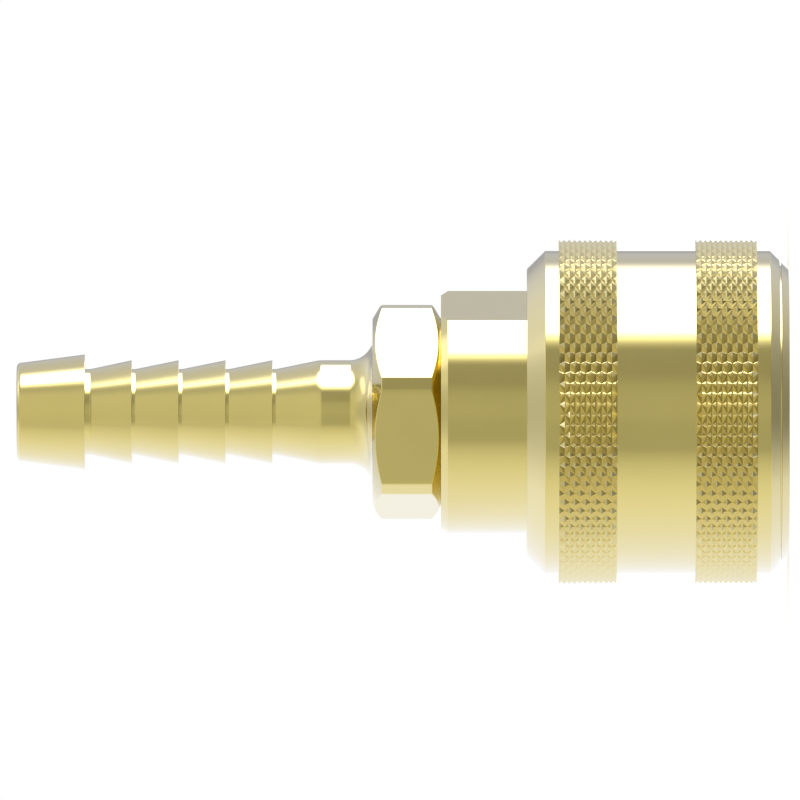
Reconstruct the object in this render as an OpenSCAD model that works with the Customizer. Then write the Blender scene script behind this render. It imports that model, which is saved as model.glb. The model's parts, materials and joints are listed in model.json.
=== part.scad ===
// Female hose coupling: a ball-lock socket with a knurled release sleeve and a barbed hose tail.
// The axis is Z. The mating nose stands on Z = 0 and the hose tail points up. All sizes are in mm.

/* [Socket body] */
// Length of the body from the nose face to the hexagon
body_length = 33.8; // [33:0.1:36]
// Diameter of the bare part of the body behind the sleeve
body_diameter = 23.56; // [23.2:0.02:24]
// Depth of the two wrench flats on the body
flats_depth = 0.68; // [0.4:0.01:0.9]
// Length of the wrench flats, measured from the rear face
flats_length = 9.2; // [8:0.1:10]
// Turn of the wrench flats about the axis, in degrees
flats_turn = -21.5; // [-90:0.5:90]
// Axial length of the chamfer on the rear edge of the body
body_edge = 0.67; // [0.3:0.01:0.9]
// Height of the shoulder that the sleeve spring pushes on, above the part that carries the balls
shoulder_height = 1.38; // [1.3:0.01:1.45]
// Distance from the nose face to the shoulder that the sleeve spring pushes on
spring_shoulder_depth = 21; // [20:0.1:22]

/* [Socket bore] */
// How much wider than the plug bore the mouth is, all round
mouth_relief = 0.2; // [0.1:0.05:0.3]
// Depth of the wider mouth
mouth_depth = 4.6; // [4.2:0.1:4.8]
// Bore diameter that takes the body of the plug
plug_diameter = 14.8; // [14.6:0.05:14.9]
// Depth of the plug bore
plug_depth = 11; // [10.6:0.1:11.4]
// Bore diameter that takes the nose of the plug
plug_nose_diameter = 11.3; // [11:0.05:11.6]
// Depth at which the bore narrows to the valve seat
plug_nose_depth = 17; // [16.8:0.1:17.4]
// Bore diameter through the valve seat
seat_diameter = 8.8; // [8.4:0.05:9]
// Length of the narrow bore in front of the valve seat
seat_length = 1; // [0.8:0.05:1.3]
// Bore diameter of the chamber behind the valve seat
chamber_diameter = 13.2; // [13:0.05:13.6]

/* [Release sleeve] */
// Outside diameter of the sleeve between its knurled bands
sleeve_diameter = 31.4; // [31:0.1:32]
// Length of the sleeve
sleeve_length = 24.58; // [24:0.02:25.4]
// Chamfer on the front edge of the sleeve
sleeve_front_chamfer = 0.9; // [0.5:0.05:1]
// Chamfer on the rear edge of the sleeve
sleeve_rear_chamfer = 1.75; // [1:0.05:2]
// How far the sleeve draws back to let the plug go
sleeve_travel = 4; // [3.8:0.1:4.2]
// Distance from the nose face to the front of the land that holds the balls in
land_depth = 5.9; // [5.8:0.05:6.2]
// Length of the land that holds the balls in
land_length = 4.9; // [4.5:0.1:5.2]
// Room over the balls in the sleeve's recess, once they have moved out of the bore
recess_room = 0.4; // [0.2:0.05:0.5]
// Wall of the sleeve around the nose ring
sleeve_front_wall = 1.36; // [1.3:0.01:1.6]

/* [Knurl] */
// Height of the knurl's points above the sleeve
knurl_height = 1.06; // [0.8:0.01:1.2]
// Depth of the knurl's grooves
knurl_depth = 0.43; // [0.3:0.01:0.5]
// Number of knurl points around the sleeve, with every second row counted
knurl_point_count = 51; // [40:1:54]
// Length of the front band
front_band_length = 5.97; // [5:0.01:6.5]
// Gap from the front face of the sleeve to the front band
front_band_start = 2.22; // [1.6:0.01:2.6]
// Half pitches of the knurl along the front band
front_band_steps = 12; // [8:1:12]
// Length of the rear band
rear_band_length = 5.62; // [5:0.01:6]
// Gap from the rear band to the rear face of the sleeve
rear_band_end = 3.11; // [2.6:0.01:3.6]
// Half pitches of the knurl along the rear band
rear_band_steps = 11; // [8:1:12]

/* [Nose ring] */
// How far the flange stands out past the ring behind it
flange_rim = 0.35; // [0.2:0.01:0.5]
// Thickness of the flange
flange_thickness = 0.71; // [0.5:0.01:0.9]
// Depth of the ring from the nose face
ring_depth = 3; // [2.8:0.05:3.2]
// Gap between the flange and the front face of the sleeve
flange_gap = 0.155; // [0.1:0.005:0.3]
// Step from the part that carries the balls down to the nose, which the ring sits on
nose_step = 0.4; // [0.2:0.05:0.5]
// Wire diameter of the snap ring
snap_wire = 1; // [0.9:0.05:1.1]
// Distance from the nose face to the middle of the snap ring
snap_depth = 1.3; // [1.2:0.05:1.4]
// Opening between the ends of the snap ring, in degrees
snap_opening = 14; // [8:1:30]

/* [Locking balls] */
// How far the locking balls stand into the bore
ball_reach = 0.97; // [0.9:0.01:1.05]
// Distance from the nose face to the middle of the balls
ball_depth = 7.3; // [7.2:0.05:7.5]
// Half angle of the tapered hole that a ball rests in
ball_taper = 15; // [12:1:20]

/* [Springs] */
// Wire diameter of the sleeve spring
sleeve_spring_wire = 1.1; // [0.9:0.05:1.15]
// Turns of the sleeve spring
sleeve_spring_turns = 5; // [4:0.5:5]
// Wire diameter of the valve spring
valve_spring_wire = 0.8; // [0.6:0.05:0.9]
// Turns of the valve spring
valve_spring_turns = 5; // [4:0.5:5]
// Outside diameter of the valve spring
valve_spring_diameter = 8.2; // [7.8:0.1:8.6]

/* [Valve] */
// Travel of the valve as a plug pushes it open
valve_travel = 3.2; // [3:0.1:3.4]
// Distance from the nose face to the tips of the valve's guide vanes
vane_depth = 13.6; // [13.4:0.1:14.4]
// Thickness of a guide vane
vane_thickness = 1.4; // [1:0.1:1.8]
// Diameter of the valve's rear disc
disc_diameter = 11; // [10.6:0.1:11.2]
// Thickness of the valve's rear disc
disc_thickness = 1.15; // [0.8:0.05:1.4]
// Diameter of the valve's stem
stem_pin_diameter = 3; // [2.4:0.1:3.4]
// Length of the stem behind the rear disc
stem_pin_length = 10; // [9.6:0.1:11]
// Thickness of the guide that the stem runs in
guide_thickness = 1.2; // [1:0.05:1.6]

/* [Seals] */
// Section diameter of the seal round the plug's nose
plug_seal_section = 1.8; // [1.6:0.05:2]
// Distance from the nose face to the middle of the plug seal
plug_seal_depth = 14.2; // [14:0.1:14.6]
// Section diameter of the valve seal
valve_seal_section = 1.5; // [1.3:0.05:1.6]
// Section diameter of the seal under the hexagon
barb_seal_section = 0.96; // [0.8:0.02:1]

/* [Hose tail] */
// Width across the flats of the hexagon
hex_across = 19.05; // [18:0.05:20]
// Length of the hexagon
hex_length = 6.65; // [6:0.05:8]
// Depth of the small flats that take off the hexagon's corners
hex_corner_cut = 0.38; // [0.3:0.01:0.5]
// Turn of the hexagon about the axis, in degrees
hex_turn = -15.1; // [-30:0.1:30]
// Distance from the flats in to the round face that the chamfer leaves on the hose side
hex_face_inset = 0.405; // [0.3:0.005:0.6]
// Distance from the flats in to the round face that the chamfer leaves on the body side
hex_seat_inset = 0.745; // [0.5:0.005:0.9]
// Diameter of the stem behind the hexagon, and of the barbs
stem_diameter = 10.08; // [9.6:0.02:10.4]
// Radius of the fillet from the hexagon to the stem
stem_fillet = 2.25; // [1.5:0.05:2.5]
// Distance from the hexagon to the end of the straight stem
stem_length = 5.19; // [4.6:0.01:6]
// Distance from one barb to the next
barb_pitch = 4.56; // [4:0.01:5]
// Number of barbs behind the one at the tip
barb_count = 4; // [2:1:5]
// Diameter of the barb at the tip
tip_barb_diameter = 11.2; // [10.6:0.05:11.6]
// Diameter of the valleys between the barbs
valley_diameter = 8.36; // [8.1:0.02:8.6]
// Length of the plain neck beside each barb
barb_neck = 0.36; // [0.1:0.01:0.5]
// Length of the plain neck beside the barb at the tip
tip_neck = 0.54; // [0.3:0.01:0.8]
// Distance from the last barb's edge to the end of the tail
tip_length = 6.64; // [5:0.01:8]
// Diameter of the tail at its end
tip_diameter = 9.6; // [9:0.05:10]
// Radius of the rounded edge at the end of the tail
tip_round = 0.45; // [0.2:0.05:0.6]
// Bore diameter of the hose tail
tail_bore_diameter = 6.6; // [6:0.05:7]
// Diameter of the shank that screws into the body
shank_diameter = 14.28; // [14.1:0.02:14.4]
// Length of the shank
shank_length = 8.2; // [7.6:0.1:8.4]

/* [Hidden] */
// Sides of a round where it is drawn as a mesh
$fn = 96;
// A cut reaches this far past the surface that it opens
past = 1;
// Clearance of a part that slides or turns on another
run_gap = 0.05;
// Clearance of a part that is fitted and stays put
fit_gap = 0.03;
// Clearance at a stop, so that two faces meet without pressing
stop_gap = 0.02;
// Number of locking balls, one for each name in the list of nodes
ball_count = 8;
// Colour of turned brass
brass = [0.72, 0.62, 0.33];
// Colour of hardened steel
steel = [0.75, 0.76, 0.78];
// Colour of spring wire
wire_steel = [0.62, 0.63, 0.65];
// Colour of the rubber seals
rubber = [0.09, 0.09, 0.1];

// Radii of the body, in the order of its profile
body_r = body_diameter / 2;
carrier_r = body_r - shoulder_height;
nose_r = carrier_r - nose_step;
plug_r = plug_diameter / 2;
mouth_r = plug_r + mouth_relief;
plug_nose_r = plug_nose_diameter / 2;
seat_r = seat_diameter / 2;
chamber_r = chamber_diameter / 2;
shank_r = shank_diameter / 2;
thread_r = shank_r + fit_gap;
// Lead-in chamfer at the mouth of the bore
mouth_lead = 0.7;
// Chamfer on the outer edge of the nose
nose_edge = 0.3;
// Angle of the chamfer on the rear edge of the body
body_edge_angle = 31;
// Length of the cone where the plug bore narrows
plug_cone = 1;
// Angle of the valve seat, a cone that opens to the rear
seat_angle = 45;
// Heights of the valve seat
seat_z = plug_nose_depth + seat_length;
seat_top_z = seat_z + (chamber_r - seat_r) / tan(seat_angle);
// Room in front of the shank once it is screwed home
shank_room = 0.2;
// Heights of the shank and of the fitted bore that takes it
shank_z = body_length - shank_length;
thread_z = shank_z - shank_room;

// Room round the snap ring in the nose ring
snap_room = 0.09;
// The snap ring sits half in the body's groove and half in the nose ring's counterbore
snap_r = nose_r;
snap_groove_r = snap_r - snap_wire / 2 - stop_gap;
snap_front_z = snap_depth - snap_wire / 2 - stop_gap;
snap_rear_z = snap_depth + snap_wire / 2 + stop_gap;
snap_pocket_r = snap_r + snap_wire / 2 + snap_room;

// Heights of the sleeve at rest
sleeve_front_z = flange_thickness + flange_gap;
sleeve_rear_z = sleeve_front_z + sleeve_length;
land_rear_z = land_depth + land_length;
// Lead-in chamfer at the rear of the sleeve's bore
sleeve_bore_lead = 0.4;
// The land holds each ball out of its tapered hole by this radius, and into the bore by its reach
land_r = carrier_r + run_gap;
ball_r = (land_r - stop_gap - plug_r + ball_reach) / 2;
ball_at = land_r - ball_r - stop_gap;
// Radii of the sleeve, and of the nose ring that it slides on
sleeve_r = sleeve_diameter / 2;
sleeve_bore_r = body_r + run_gap;
recess_r = plug_r + ball_r * 2 + recess_room;
pocket_r = sleeve_r - sleeve_front_wall;
spigot_r = pocket_r - run_gap - fit_gap;
flange_r = spigot_r + flange_rim;
// Height at which the sleeve stops against the nose ring
stop_z = ring_depth + stop_gap;

// Depth to which the knurl's ring is sunk into the sleeve
knurl_root = 0.7;
// Radii of the knurl's ring
knurl_root_r = sleeve_r - knurl_root;
knurl_r = sleeve_r + knurl_height;
// Lines of knurl points round the sleeve, each half a pitch out of step with the next
knurl_line_count = knurl_point_count * 2;

// Radius of the tapered ball hole at a given distance from the axis
function hole_r(at) = (ball_r + stop_gap) / cos(ball_taper) - (ball_at - at) * tan(ball_taper);
// The hole is cut from inside the bore to outside the body
hole_inner_at = plug_r - past;
hole_outer_at = carrier_r + past;

// How far the plug seal stands into the bore
plug_seal_reach = 0.324;
// Room on each side of the plug seal in its groove
plug_seal_room = 0.2;
// Middle of the plug seal's section, and the groove round it
plug_seal_r = plug_nose_r + plug_seal_section / 2 - plug_seal_reach;
plug_groove_r = plug_seal_r + plug_seal_section / 2 + stop_gap;
plug_groove_half = plug_seal_section / 2 + plug_seal_room;
// The valve seal lies a hair off its seat when the valve is shut
valve_seal_r = seat_r;
valve_seal_z = seat_z + (valve_seal_section / 2 + stop_gap) / sin(seat_angle);
valve_groove_r = valve_seal_r - valve_seal_section / 2 - stop_gap;
// The seal under the hexagon lies in a pocket round the shank
barb_seal_r = shank_r + barb_seal_section / 2 + stop_gap;
barb_seal_z = body_length - barb_seal_section / 2 - stop_gap;
seal_pocket_r = barb_seal_r + barb_seal_section / 2 + stop_gap;
seal_pocket_depth = barb_seal_section + stop_gap * 2;

// Thickness of the lip in front of the valve seal
lip_thickness = 0.6;
// Chamfer on the vane tips and on the end of the stem
vane_tip_edge = 0.4;
// Heights and radii of the valve
front_lip_z = valve_seal_z - valve_seal_section / 2 - stop_gap;
disc_z = valve_seal_z + valve_seal_section / 2 + stop_gap;
disc_rear_z = disc_z + disc_thickness;
vane_r = seat_r - run_gap;
stem_pin_r = stem_pin_diameter / 2;

// Radius of the guide that the valve's stem runs in
guide_r = 5;
// Distance from the end of the shank to the guide, which sits in a counterbore
guide_depth = 3.5;
// Width of the guide's rim
guide_rim = 0.75;
// Wall of the guide's hub round the stem
guide_hub = 0.8;
// Number of arms between the hub and the rim
guide_arm_count = 3;
// Width of an arm
guide_arm_width = 1.8;
// Width of the shelf that the guide rests on
guide_shelf = 0.35;
// Place of the guide and the radius of its counterbore
guide_z = shank_z + guide_depth;
guide_pocket_r = guide_r + fit_gap;

// Angle between two sides of the hexagon, seen from its middle
hex_sector = 60;
// Slope of the hexagon's chamfers
hex_chamfer_angle = 30;
// Chamfer on the end of the shank
shank_edge = 0.5;
// Chamfer on the edge of the bore at the tail's end
bore_edge = 0.3;
// Steps of the fillet behind the hexagon
fillet_steps = 12;
// Steps of the rounded edge at the tail's end
tip_steps = 5;
// Width across the hexagon's corners before they are taken off. Its chamfers are drawn out this far.
hex_points = hex_across / cos(hex_sector / 2);
// Radii and heights of the hose tail
stem_r = stem_diameter / 2;
valley_r = valley_diameter / 2;
tail_bore_r = tail_bore_diameter / 2;
tip_r = tip_diameter / 2;
hex_top_z = body_length + hex_length;
stem_top_z = hex_top_z + stem_length;
first_barb_z = stem_top_z + barb_pitch;
tip_barb_z = first_barb_z + barb_count * barb_pitch;
tail_end_z = tip_barb_z + tip_length;

// Clearance between the sleeve spring and the body inside it
spring_gap = 0.15;
// Rise of a closed end turn of a spring, as a share of its wire
coil_closed = 1.04;
// Number of rings in one turn of a spring
coil_ring_count = 20;
// Number of sides of a spring's wire
coil_side_count = 8;
// Radii of the springs at the middle of the wire
sleeve_spring_r = carrier_r + spring_gap + sleeve_spring_wire / 2;
valve_spring_r = (valve_spring_diameter - valve_spring_wire) / 2;

// A solid turned about the axis from a list of [radius, height]
module turned(profile) {
    rotate_extrude() polygon(profile);
}

// A round rubber seal that lies flat at a height
module seal(radius, section, height) {
    color(rubber) translate([0, 0, height]) rotate_extrude() translate([radius, 0]) circle(d = section);
}

// Height of a spring's wire after some turns, with the first and last turn closed
function coil_height(turn, turns, length, wire) =
    let (
        closed = wire * coil_closed,
        open = (length - wire - 2 * closed) / (turns - 2)
    )
    turn < 1 ? turn * closed
        : turn > turns - 1 ? closed + (turns - 2) * open + (turn - turns + 1) * closed
        : closed + (turn - 1) * open;

// A round wire spring between two heights
module coil(radius, wire, turns, low, high) {
    rings = turns * coil_ring_count;
    points = [
        for (i = [0:rings], s = [0:coil_side_count - 1])
            let (
                turn = i / coil_ring_count,
                side = 360 * s / coil_side_count,
                at = radius + wire / 2 * cos(side)
            )
            [
                at * cos(360 * turn),
                at * sin(360 * turn),
                low + wire / 2 + coil_height(turn, turns, high - low, wire) + wire / 2 * sin(side)
            ]
    ];
    wall = [
        for (i = [0:rings - 1], s = [0:coil_side_count - 1])
            let (a = i * coil_side_count + s, b = i * coil_side_count + (s + 1) % coil_side_count)
            [a, b, b + coil_side_count, a + coil_side_count]
    ];
    start = [[for (s = [coil_side_count - 1:-1:0]) s]];
    finish = [[for (s = [0:coil_side_count - 1]) rings * coil_side_count + s]];
    color(wire_steel) polyhedron(points, concat(wall, start, finish), convexity = 10);
}

// A band of diamond knurl: points and valleys alternate along the band and from line to line
module knurl_band(low, length, steps) {
    line = steps + 1;
    outer = [
        for (j = [0:knurl_line_count - 1], k = [0:steps])
            let (
                angle = 360 * j / knurl_line_count,
                at = (j + k) % 2 == 0 ? knurl_r : knurl_r - knurl_depth
            )
            [at * cos(angle), at * sin(angle), low + length * k / steps]
    ];
    inner = [
        for (j = [0:knurl_line_count - 1], k = [0, 1])
            let (angle = 360 * j / knurl_line_count)
            [knurl_root_r * cos(angle), knurl_root_r * sin(angle), low + length * k]
    ];
    base = knurl_line_count * line;
    // Each square between two lines is folded along the groove that joins its two valleys
    skin = [
        for (j = [0:knurl_line_count - 1], k = [0:steps - 1], half = [0, 1])
            let (
                a = j * line + k,
                b = (j + 1) % knurl_line_count * line + k
            )
            (j + k) % 2 == 0
                ? (half == 0 ? [a, a + 1, b] : [a + 1, b + 1, b])
                : (half == 0 ? [a, b + 1, b] : [a, a + 1, b + 1])
    ];
    root = [
        for (j = [0:knurl_line_count - 1])
            let (a = base + j * 2, b = base + (j + 1) % knurl_line_count * 2)
            [a, b, b + 1, a + 1]
    ];
    ends = [
        for (j = [0:knurl_line_count - 1], top = [0, 1])
            let (
                next = (j + 1) % knurl_line_count,
                a = j * line + top * steps,
                b = next * line + top * steps,
                c = base + j * 2 + top,
                d = base + next * 2 + top
            )
            top == 0 ? [a, b, d, c] : [a, c, d, b]
    ];
    polyhedron(concat(outer, inner), concat(skin, root, ends), convexity = 10);
}

// A cutter for both wrench flats of the body
module wrench_flats() {
    rotate([0, 0, flats_turn]) for (side = [0, 180]) rotate([0, 0, side])
        translate([body_r - flats_depth, -body_r, body_length - flats_length])
            cube([body_r, body_diameter, flats_length + past]);
}

// The body: nose, ball carrier, spring shoulder and bare rear part, with the stepped bore
module socket_body() {
    color(brass) difference() {
        turned([
            [mouth_r + mouth_lead, 0],
            [nose_r - nose_edge, 0],
            [nose_r, nose_edge],
            [nose_r, snap_front_z],
            [snap_groove_r, snap_front_z],
            [snap_groove_r, snap_rear_z],
            [nose_r, snap_rear_z],
            [nose_r, ring_depth],
            [carrier_r, ring_depth],
            [carrier_r, spring_shoulder_depth],
            [body_r, spring_shoulder_depth],
            [body_r, body_length - body_edge],
            [body_r - body_edge * tan(body_edge_angle), body_length],
            [seal_pocket_r, body_length],
            [seal_pocket_r, body_length - seal_pocket_depth],
            [thread_r, body_length - seal_pocket_depth],
            [thread_r, thread_z],
            [chamber_r, thread_z],
            [chamber_r, seat_top_z],
            [seat_r, seat_z],
            [seat_r, plug_nose_depth],
            [plug_nose_r, plug_nose_depth],
            [plug_nose_r, plug_seal_depth + plug_groove_half],
            [plug_groove_r, plug_seal_depth + plug_groove_half],
            [plug_groove_r, plug_seal_depth - plug_groove_half],
            [plug_nose_r, plug_seal_depth - plug_groove_half],
            [plug_nose_r, plug_depth + plug_cone],
            [plug_r, plug_depth],
            [plug_r, mouth_depth + mouth_r - plug_r],
            [mouth_r, mouth_depth],
            [mouth_r, mouth_lead]
        ]);
        wrench_flats();
        for (i = [1:ball_count]) at_ball(i) ball_hole();
    }
}

// Turns and lifts its children to the place of one ball, with X pointing away from the axis
module at_ball(number) {
    rotate([0, 0, 360 * (number - 1) / ball_count]) translate([0, 0, ball_depth]) children();
}

// The tapered hole that lets a ball stand into the bore and keeps it from falling through
module ball_hole() {
    translate([hole_inner_at, 0, 0]) rotate([0, 90, 0])
        cylinder(r1 = hole_r(hole_inner_at), r2 = hole_r(ball_at), h = ball_at - hole_inner_at);
    translate([ball_at, 0, 0]) rotate([0, 90, 0])
        cylinder(r = hole_r(ball_at), h = hole_outer_at - ball_at);
}

module locking_ball(number) {
    color(steel) at_ball(number) translate([ball_at, 0, 0]) sphere(r = ball_r);
}

// The sleeve: a turned ring with two knurled bands, a land over the balls and a release recess
module sleeve() {
    color(brass) union() {
        turned([
            [pocket_r, sleeve_front_z],
            [sleeve_r - sleeve_front_chamfer, sleeve_front_z],
            [sleeve_r, sleeve_front_z + sleeve_front_chamfer],
            [sleeve_r, sleeve_rear_z - sleeve_rear_chamfer],
            [sleeve_r - sleeve_rear_chamfer, sleeve_rear_z],
            [sleeve_bore_r + sleeve_bore_lead, sleeve_rear_z],
            [sleeve_bore_r, sleeve_rear_z - sleeve_bore_lead],
            [sleeve_bore_r, land_rear_z],
            [land_r, land_rear_z],
            [land_r, land_depth],
            [recess_r, land_depth - recess_r + land_r],
            [recess_r, stop_z],
            [pocket_r, stop_z]
        ]);
        knurl_band(sleeve_front_z + front_band_start, front_band_length, front_band_steps);
        knurl_band(sleeve_rear_z - rear_band_end - rear_band_length, rear_band_length, rear_band_steps);
    }
}

module sleeve_spring() {
    coil(sleeve_spring_r, sleeve_spring_wire, sleeve_spring_turns,
        land_rear_z + stop_gap, spring_shoulder_depth - stop_gap);
}

// The ring at the nose: a chamfered flange, a spigot inside the sleeve and a seat for the snap ring
module nose_ring() {
    color(brass) turned([
        [snap_pocket_r, 0],
        [flange_r - flange_thickness, 0],
        [flange_r, flange_thickness],
        [spigot_r, flange_thickness],
        [spigot_r, ring_depth],
        [nose_r + fit_gap, ring_depth],
        [nose_r + fit_gap, snap_rear_z],
        [snap_pocket_r, snap_rear_z]
    ]);
}

module snap_ring() {
    color(wire_steel) translate([0, 0, snap_depth]) rotate([0, 0, snap_opening / 2])
        rotate_extrude(angle = 360 - snap_opening) translate([snap_r, 0]) circle(d = snap_wire);
}

module plug_seal() {
    seal(plug_seal_r, plug_seal_section, plug_seal_depth);
}

// The valve: four guide vanes, a grooved head for the seal, a rear disc and a stem
module valve_poppet() {
    color(brass) union() {
        intersection() {
            turned([
                [0, vane_depth],
                [vane_r - vane_tip_edge, vane_depth],
                [vane_r, vane_depth + vane_tip_edge],
                [vane_r, front_lip_z],
                [0, front_lip_z]
            ]);
            for (turn = [0, 90]) rotate([0, 0, turn])
                translate([-vane_r, -vane_thickness / 2, vane_depth])
                    cube([vane_r * 2, vane_thickness, front_lip_z - vane_depth]);
        }
        turned([
            [0, vane_depth + vane_tip_edge],
            [stem_pin_r, vane_depth + vane_tip_edge],
            [stem_pin_r, front_lip_z - lip_thickness],
            [vane_r, front_lip_z - lip_thickness],
            [vane_r, front_lip_z],
            [valve_groove_r, front_lip_z],
            [valve_groove_r, disc_z],
            [disc_diameter / 2, disc_z],
            [disc_diameter / 2, disc_rear_z],
            [stem_pin_r, disc_rear_z],
            [stem_pin_r, disc_rear_z + stem_pin_length - vane_tip_edge],
            [stem_pin_r - vane_tip_edge, disc_rear_z + stem_pin_length],
            [0, disc_rear_z + stem_pin_length]
        ]);
    }
}

module valve_seal() {
    seal(valve_seal_r, valve_seal_section, valve_seal_z);
}

module valve_spring() {
    coil(valve_spring_r, valve_spring_wire, valve_spring_turns,
        disc_rear_z + stop_gap, guide_z - stop_gap);
}

// A round blank for cutting the guide, longer than the guide at both ends
module guide_blank(radius, longer) {
    translate([0, 0, guide_z - longer]) cylinder(r = radius, h = guide_thickness + longer * 2);
}

// The guide: a thin ring whose three arms hold a hub for the stem, with the flow passing between
module valve_guide() {
    color(brass) difference() {
        guide_blank(guide_r, 0);
        guide_blank(stem_pin_r + run_gap, past);
        difference() {
            guide_blank(guide_r - guide_rim, past);
            guide_blank(stem_pin_r + run_gap + guide_hub, past * 2);
            for (i = [1:guide_arm_count]) rotate([0, 0, 360 * i / guide_arm_count])
                translate([0, -guide_arm_width / 2, guide_z - past * 2])
                    cube([guide_r, guide_arm_width, guide_thickness + past * 4]);
        }
    }
}

// The prism of the hexagon, with its corners taken off
module hex_prism(height) {
    intersection() {
        rotate([0, 0, hex_turn]) cylinder(d = hex_points, h = height, $fn = 6);
        rotate([0, 0, hex_turn + hex_sector / 2])
            cylinder(d = (hex_points - hex_corner_cut * 2) / cos(hex_sector / 2), h = height, $fn = 6);
    }
}

// The hexagon with a 30 degree chamfer on both faces
module hexagon() {
    rise = tan(hex_chamfer_angle);
    seat = hex_across / 2 - hex_seat_inset;
    face = hex_across / 2 - hex_face_inset;
    intersection() {
        translate([0, 0, body_length]) hex_prism(hex_length);
        turned([
            [0, body_length],
            [seat, body_length],
            [hex_points, body_length + (hex_points - seat) * rise],
            [hex_points, hex_top_z - (hex_points - face) * rise],
            [face, hex_top_z],
            [0, hex_top_z]
        ]);
    }
}

// The outline of the barbs from the stem to the tip: each slopes out and steps down square
function barb_profile() = [
    for (i = [0:barb_count])
        let (
            edge_z = first_barb_z + i * barb_pitch,
            neck = i == barb_count ? tip_neck : barb_neck,
            edge_r = i == barb_count ? tip_barb_diameter / 2 : stem_r
        )
        each [[valley_r, edge_z - neck], [valley_r, edge_z], [edge_r, edge_z]]
];

// The hose tail: shank, hexagon, filleted stem and barbs, bored through
module hose_barb() {
    color(brass) difference() {
        union() {
            hexagon();
            turned(concat(
                [
                    [0, shank_z],
                    [shank_r - shank_edge, shank_z],
                    [shank_r, shank_z + shank_edge],
                    [shank_r, hex_top_z - past],
                    [stem_r + stem_fillet, hex_top_z - past]
                ],
                [
                    for (i = [0:fillet_steps]) let (turn = 90 * i / fillet_steps)
                        [stem_r + stem_fillet * (1 - sin(turn)), hex_top_z + stem_fillet * (1 - cos(turn))]
                ],
                [[stem_r, stem_top_z]],
                barb_profile(),
                [
                    for (i = [0:tip_steps]) let (turn = 90 * i / tip_steps)
                        [tip_r - tip_round * (1 - cos(turn)), tail_end_z - tip_round * (1 - sin(turn))]
                ],
                [[0, tail_end_z]]
            ));
        }
        turned([
            [0, shank_z - past],
            [guide_pocket_r, shank_z - past],
            [guide_pocket_r, guide_z + guide_thickness],
            [guide_pocket_r - guide_shelf, guide_z + guide_thickness],
            [tail_bore_r, guide_z + guide_thickness + guide_pocket_r - guide_shelf - tail_bore_r],
            [tail_bore_r, tail_end_z - bore_edge],
            [tail_bore_r + bore_edge + past, tail_end_z + past],
            [0, tail_end_z + past]
        ]);
    }
}

module barb_seal() {
    seal(barb_seal_r, barb_seal_section, barb_seal_z);
}

socket_body();
hose_barb();
barb_seal();
sleeve();
sleeve_spring();
nose_ring();
snap_ring();
locking_ball(1);  // locking_ball_1
locking_ball(2);  // locking_ball_2
locking_ball(3);  // locking_ball_3
locking_ball(4);  // locking_ball_4
locking_ball(5);  // locking_ball_5
locking_ball(6);  // locking_ball_6
locking_ball(7);  // locking_ball_7
locking_ball(8);  // locking_ball_8
plug_seal();
valve_poppet();
valve_seal();
valve_spring();
valve_guide();
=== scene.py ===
import json
import math

import bmesh
import bpy
import numpy as np
from mathutils import Matrix, Vector

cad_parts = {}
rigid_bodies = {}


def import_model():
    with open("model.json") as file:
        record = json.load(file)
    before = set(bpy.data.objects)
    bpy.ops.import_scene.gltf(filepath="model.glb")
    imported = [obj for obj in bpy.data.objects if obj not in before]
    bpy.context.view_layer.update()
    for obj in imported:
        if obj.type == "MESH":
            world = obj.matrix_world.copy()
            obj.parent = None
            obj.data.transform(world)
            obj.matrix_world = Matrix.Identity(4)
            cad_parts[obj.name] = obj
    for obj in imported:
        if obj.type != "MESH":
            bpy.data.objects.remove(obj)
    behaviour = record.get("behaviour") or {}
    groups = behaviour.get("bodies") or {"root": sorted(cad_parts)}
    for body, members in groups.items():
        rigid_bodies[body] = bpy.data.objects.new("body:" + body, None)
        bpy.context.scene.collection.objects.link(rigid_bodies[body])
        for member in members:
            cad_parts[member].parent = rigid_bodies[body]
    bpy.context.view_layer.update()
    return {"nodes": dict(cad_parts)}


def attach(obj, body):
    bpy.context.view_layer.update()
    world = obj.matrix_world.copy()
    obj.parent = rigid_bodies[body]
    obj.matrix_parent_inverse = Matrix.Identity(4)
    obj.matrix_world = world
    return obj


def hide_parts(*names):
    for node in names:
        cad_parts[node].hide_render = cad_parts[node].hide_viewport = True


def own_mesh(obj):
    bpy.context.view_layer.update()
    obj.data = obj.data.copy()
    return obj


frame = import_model()

# Lengths are in millimetres here, as on a drawing, and become metres where a mesh is made
MM = 0.001

# Camera: a long lens square to the axis, its distance and sensor in metres and millimetres.
# The photograph's left is +Z and its top is +X.
CAMERA_DISTANCE = 3.4
CAMERA_SENSOR = 36.0
VIEW_WIDTH = 77.86
# Middle of the picture, from the axis and from the nose
VIEW_UP = 1.16
VIEW_ALONG = 37.78

# Rounding of the machined edges
EDGE = 0.05
# Steps of a rounded edge
EDGE_STEPS = 3

# Body
BODY_LENGTH = 33.8
BODY_R = 11.78
FLAT_R = 11.1
FLATS_Z = 24.6
FLATS_TURN = math.radians(-21.5)
BODY_END_R = 11.377
BODY_END_SLOPE = math.tan(math.radians(31))
CARRIER_R = 10.4
NOSE_R = 10.0
NOSE_CHAMFER = 0.3
SHOULDER_Z = 21.0
RING_DEPTH = 3.0
SNAP_GROOVE_R = 9.48
SNAP_GROOVE_Z = (0.78, 1.82)

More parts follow.
